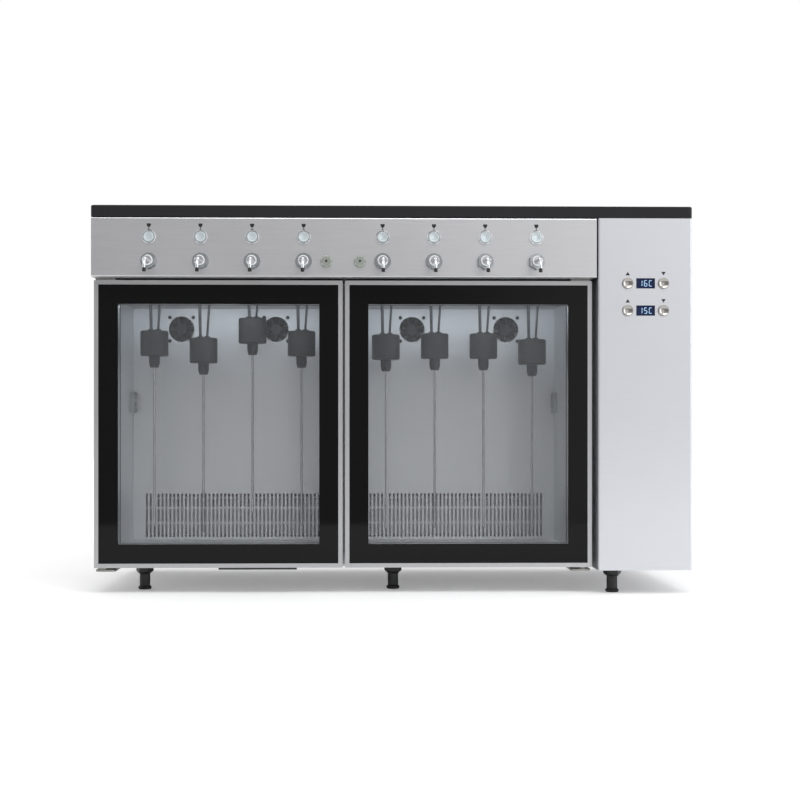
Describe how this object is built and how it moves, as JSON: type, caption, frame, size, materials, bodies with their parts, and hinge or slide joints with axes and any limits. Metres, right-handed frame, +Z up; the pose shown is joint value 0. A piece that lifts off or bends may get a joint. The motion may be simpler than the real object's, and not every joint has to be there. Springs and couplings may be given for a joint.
{
  "type": "wine preservation dispenser",
  "caption": "Countertop wine dispenser: cooled glass-door bays with gas-fed bottle stoppers, push-button taps with swan-neck spouts, dark top slab and a control column with displays.",
  "frame": {"origin": "on the plane the feet stand on, under the centre of the overall bounding box", "axes": "+Z up; the doors, taps and controls face -Y; +X to the viewer's right, where the machine column is"},
  "size_m": [0.97, 0.4678, 0.627],
  "materials": {
    "slab": "dark graphite laminate, fine texture",
    "satin_steel": "fine horizontal brushing",
    "liner_steel": "satin sheet",
    "foam": null,
    "fin_aluminium": "thin bright fins",
    "black_plastic": "moulded",
    "dark_screw": "black oxide",
    "lamp": "opal diffuser",
    "grey_plastic": "moulded",
    "stopper_rubber": "moulded, slightly satin",
    "bright_tube": "drawn tube",
    "hose": "flexible tube",
    "chrome": "polished",
    "button_steel": "turned, bright",
    "nickel": "satin nickel",
    "valve_plastic": "moulded",
    "brass": "machined",
    "display_glass": "tinted window",
    "circuit_board": "green mask",
    "black_enamel": "black enamel",
    "copper": "drawn copper",
    "zinc": "zinc plated",
    "door_frame": "satin steel colour",
    "glass": "clear float glass",
    "black_border": "ceramic print",
    "gasket": "soft magnetic seal",
    "black_foot": "black"
  },
  "bodies": {
    "root": {"top_slab": "slab", "tap_panel": "satin_steel", "control_column": "satin_steel", "left_side_panel": "satin_steel", "rear_panel": "satin_steel", "base_pan": "satin_steel", "insulated_cabinet": "foam", "bay_liner": "liner_steel", "air_covers": "liner_steel", "evaporators": "fin_aluminium", "fan_frames": "black_plastic", "fan_screws": "dark_screw", "ceiling_lamps": "lamp", "probe_covers": "grey_plastic", "stoppers": "stopper_rubber", "dip_tubes": "bright_tube", "supply_tubes": "hose", "pour_spouts": "chrome", "button_bezels": "chrome", "service_ports": "nickel", "wine_valves": "valve_plastic", "gas_manifold": "brass", "displays": "display_glass", "control_board": "circuit_board", "compressor": "black_enamel", "condenser": "black_enamel", "refrigerant_lines": "copper", "power_inlet": "black_plastic", "gas_inlet": "nickel", "hinge_brackets": "zinc"},
    "door_left": {"door_frame_left": "door_frame", "door_panes_left": "glass", "door_border_left": "black_border", "door_gasket_left": "gasket"},
    "door_right": {"door_frame_right": "door_frame", "door_panes_right": "glass", "door_border_right": "black_border", "door_gasket_right": "gasket"},
    "dispense_button_1": {"dispense_button_1": "button_steel"},
    "dispense_button_2": {"dispense_button_2": "button_steel"},
    "dispense_button_3": {"dispense_button_3": "button_steel"},
    "dispense_button_4": {"dispense_button_4": "button_steel"},
    "dispense_button_5": {"dispense_button_5": "button_steel"},
    "dispense_button_6": {"dispense_button_6": "button_steel"},
    "dispense_button_7": {"dispense_button_7": "button_steel"},
    "dispense_button_8": {"dispense_button_8": "button_steel"},
    "upper_up_button": {"upper_up_button": "chrome"},
    "upper_down_button": {"upper_down_button": "chrome"},
    "lower_up_button": {"lower_up_button": "chrome"},
    "lower_down_button": {"lower_down_button": "chrome"},
    "fan_rotor_1": {"fan_rotor_1": "black_plastic"},
    "fan_rotor_2": {"fan_rotor_2": "black_plastic"},
    "fan_rotor_3": {"fan_rotor_3": "black_plastic"},
    "fan_rotor_4": {"fan_rotor_4": "black_plastic"},
    "condenser_fan": {"condenser_fan": "black_plastic"},
    "levelling_foot_1": {"levelling_foot_1": "black_foot"},
    "levelling_foot_2": {"levelling_foot_2": "black_foot"},
    "levelling_foot_3": {"levelling_foot_3": "black_foot"},
    "levelling_foot_4": {"levelling_foot_4": "black_foot"},
    "levelling_foot_5": {"levelling_foot_5": "black_foot"}
  },
  "joints": [
    {"name": "door_left_swing", "type": "hinge", "parent": "root", "child": "door_left", "pos_m": [-0.47, -0.1449, 0.2755], "axis": [0, 0, -1], "range_deg": [0, 100]},
    {"name": "door_right_swing", "type": "hinge", "parent": "root", "child": "door_right", "pos_m": [0.312, -0.1449, 0.2755], "axis": [0, 0, 1], "range_deg": [0, 100]},
    {"name": "dispense_1_press", "type": "slide", "parent": "root", "child": "dispense_button_1", "axis": [0, 1, 0], "range_m": [0, 0.0025], "stiffness_N_per_m": 900, "springref_m": -0.001},
    {"name": "dispense_2_press", "type": "slide", "parent": "root", "child": "dispense_button_2", "axis": [0, 1, 0], "range_m": [0, 0.0025], "stiffness_N_per_m": 900, "springref_m": -0.001},
    {"name": "dispense_3_press", "type": "slide", "parent": "root", "child": "dispense_button_3", "axis": [0, 1, 0], "range_m": [0, 0.0025], "stiffness_N_per_m": 900, "springref_m": -0.001},
    {"name": "dispense_4_press", "type": "slide", "parent": "root", "child": "dispense_button_4", "axis": [0, 1, 0], "range_m": [0, 0.0025], "stiffness_N_per_m": 900, "springref_m": -0.001},
    {"name": "dispense_5_press", "type": "slide", "parent": "root", "child": "dispense_button_5", "axis": [0, 1, 0], "range_m": [0, 0.0025], "stiffness_N_per_m": 900, "springref_m": -0.001},
    {"name": "dispense_6_press", "type": "slide", "parent": "root", "child": "dispense_button_6", "axis": [0, 1, 0], "range_m": [0, 0.0025], "stiffness_N_per_m": 900, "springref_m": -0.001},
    {"name": "dispense_7_press", "type": "slide", "parent": "root", "child": "dispense_button_7", "axis": [0, 1, 0], "range_m": [0, 0.0025], "stiffness_N_per_m": 900, "springref_m": -0.001},
    {"name": "dispense_8_press", "type": "slide", "parent": "root", "child": "dispense_button_8", "axis": [0, 1, 0], "range_m": [0, 0.0025], "stiffness_N_per_m": 900, "springref_m": -0.001},
    {"name": "upper_up_press", "type": "slide", "parent": "root", "child": "upper_up_button", "axis": [0, 1, 0], "range_m": [0, 0.0015], "stiffness_N_per_m": 900, "springref_m": -0.001},
    {"name": "upper_down_press", "type": "slide", "parent": "root", "child": "upper_down_button", "axis": [0, 1, 0], "range_m": [0, 0.0015], "stiffness_N_per_m": 900, "springref_m": -0.001},
    {"name": "lower_up_press", "type": "slide", "parent": "root", "child": "lower_up_button", "axis": [0, 1, 0], "range_m": [0, 0.0015], "stiffness_N_per_m": 900, "springref_m": -0.001},
    {"name": "lower_down_press", "type": "slide", "parent": "root", "child": "lower_down_button", "axis": [0, 1, 0], "range_m": [0, 0.0015], "stiffness_N_per_m": 900, "springref_m": -0.001},
    {"name": "fan_1_spin", "type": "hinge", "parent": "root", "child": "fan_rotor_1", "pos_m": [-0.3714, 0.0881, 0.446], "axis": [0, -1, 0], "continuous": true},
    {"name": "fan_2_spin", "type": "hinge", "parent": "root", "child": "fan_rotor_2", "pos_m": [-0.2022, 0.0881, 0.446], "axis": [0, -1, 0], "continuous": true},
    {"name": "fan_3_spin", "type": "hinge", "parent": "root", "child": "fan_rotor_3", "pos_m": [0.0422, 0.0881, 0.446], "axis": [0, -1, 0], "continuous": true},
    {"name": "fan_4_spin", "type": "hinge", "parent": "root", "child": "fan_rotor_4", "pos_m": [0.2114, 0.0881, 0.446], "axis": [0, -1, 0], "continuous": true},
    {"name": "condenser_fan_spin", "type": "hinge", "parent": "root", "child": "condenser_fan", "pos_m": [0.408, 0.1551, 0.166], "axis": [0, -1, 0], "continuous": true},
    {"name": "foot_1_adjust", "type": "slide", "parent": "root", "child": "levelling_foot_1", "axis": [0, 0, -1], "range_m": [0, 0.01]},
    {"name": "foot_2_adjust", "type": "slide", "parent": "root", "child": "levelling_foot_2", "axis": [0, 0, -1], "range_m": [0, 0.01]},
    {"name": "foot_3_adjust", "type": "slide", "parent": "root", "child": "levelling_foot_3", "axis": [0, 0, -1], "range_m": [0, 0.01]},
    {"name": "foot_4_adjust", "type": "slide", "parent": "root", "child": "levelling_foot_4", "axis": [0, 0, -1], "range_m": [0, 0.01]},
    {"name": "foot_5_adjust", "type": "slide", "parent": "root", "child": "levelling_foot_5", "axis": [0, 0, -1], "range_m": [0, 0.01]}
  ]
}
